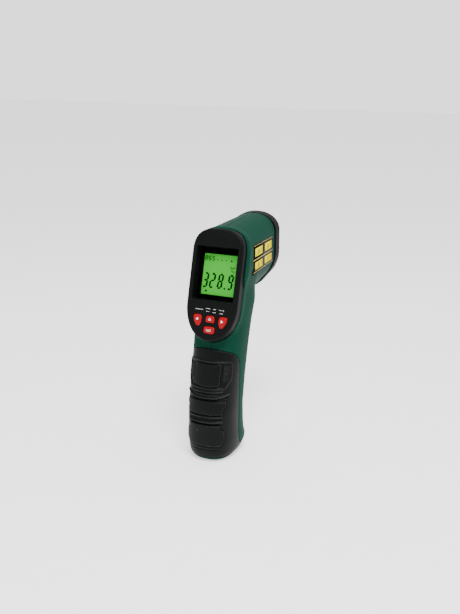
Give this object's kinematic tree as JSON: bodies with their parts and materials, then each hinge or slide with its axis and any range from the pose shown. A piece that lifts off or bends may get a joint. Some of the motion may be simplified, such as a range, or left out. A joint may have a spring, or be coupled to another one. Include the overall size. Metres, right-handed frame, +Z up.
{
  "type": "infrared thermometer",
  "caption": "Pistol-type infrared thermometer with a reclined display and keys at the back, a barrel with a sensor mouth, a trigger and a battery handle.",
  "frame": {"origin": "centre of the flat base of the handle", "axes": "+Z up along the height, +Y the way the barrel aims, +X to the right seen from behind the display"},
  "size_m": [0.0408, 0.0951, 0.1564],
  "materials": {
    "green_shell": "satin",
    "black_bezel": "satin",
    "grip_rubber": "matte, ribbed",
    "ring_plastic": "matte",
    "inner_black": "matte",
    "clear_window": "clear, black border",
    "lcd_green": "lit green display",
    "white_plastic": "matte",
    "key_red": "satin",
    "label_yellow": "printed",
    "board_green": "solder mask",
    "steel": "plated",
    "brass": "turned",
    "lens_dark": "polished",
    "cell_wrap": "shrink wrap",
    "wire_red": "satin",
    "wire_black": "satin"
  },
  "bodies": {
    "instrument": {"housing_left": "green_shell", "housing_right": "green_shell", "rear_grip": "grip_rubber", "display_bezel": "black_bezel", "display_window": "clear_window", "lcd_panel": "lcd_green", "lcd_backlight": "white_plastic", "lcd_connector": "grip_rubber", "main_board": "board_green", "main_chip": "inner_black", "flex_socket": "white_plastic", "buzzer": "inner_black", "board_screw_left": "steel", "board_screw_right": "steel", "key_switch_left": "inner_black", "key_switch_right": "inner_black", "key_switch_up": "inner_black", "key_switch_down": "inner_black", "nose_ring": "ring_plastic", "nose_plate": "inner_black", "ir_tube": "inner_black", "ir_lens": "lens_dark", "thermopile": "steel", "sensor_board": "board_green", "laser_module": "brass", "laser_lens": "clear_window", "trigger_pin": "steel", "trigger_board": "board_green", "trigger_switch": "inner_black", "trigger_spring": "steel", "door_hinge_pin": "steel", "battery_left": "cell_wrap", "battery_right": "cell_wrap", "battery_tray": "inner_black", "contact_bridge": "steel", "contact_plate": "steel", "contact_spring": "steel", "case_screw_1": "steel", "case_screw_2": "steel", "case_screw_3": "steel", "case_screw_4": "steel", "case_screw_5": "steel", "battery_wire_red": "wire_red", "battery_wire_black": "wire_black", "sensor_wires": "wire_black", "laser_wires": "wire_red", "switch_wires": "wire_black", "side_label": "label_yellow"},
    "trigger_body": {"trigger": "green_shell"},
    "switch_plunger_body": {"switch_plunger": "white_plastic"},
    "key_left_body": {"key_left": "key_red"},
    "key_right_body": {"key_right": "key_red"},
    "key_up_body": {"key_up": "key_red"},
    "key_down_body": {"key_down": "key_red"},
    "battery_door_body": {"battery_door": "green_shell"}
  },
  "joints": [
    {"name": "trigger_pull", "type": "hinge", "parent": "instrument", "child": "trigger_body", "pos_m": [0, 0.027, 0.11], "axis": [-1, 0, 0], "range_deg": [0, 8], "stiffness_Nm_per_rad": 0.25, "deforming": ["trigger_spring"]},
    {"name": "plunger_push", "type": "slide", "parent": "instrument", "child": "switch_plunger_body", "axis": [0, -1, 0], "range_m": [0, 0.0027]},
    {"name": "key_left_press", "type": "slide", "parent": "instrument", "child": "key_left_body", "axis": [0, 0.9598, -0.2807], "range_m": [0, 0.0008], "stiffness_N_per_m": 400},
    {"name": "key_right_press", "type": "slide", "parent": "instrument", "child": "key_right_body", "axis": [0, 0.9598, -0.2807], "range_m": [0, 0.0008], "stiffness_N_per_m": 400},
    {"name": "key_up_press", "type": "slide", "parent": "instrument", "child": "key_up_body", "axis": [0, 0.9598, -0.2807], "range_m": [0, 0.0008], "stiffness_N_per_m": 400},
    {"name": "key_down_press", "type": "slide", "parent": "instrument", "child": "key_down_body", "axis": [0, 0.9598, -0.2807], "range_m": [0, 0.0008], "stiffness_N_per_m": 400},
    {"name": "battery_door_swing", "type": "hinge", "parent": "instrument", "child": "battery_door_body", "pos_m": [0, 0.0216, 0.008], "axis": [-1, 0, 0], "range_deg": [0, 70]}
  ],
  "couplings": [
    {"joint": "plunger_push", "follows": "trigger_pull", "m_per_rad": 0.018}
  ]
}
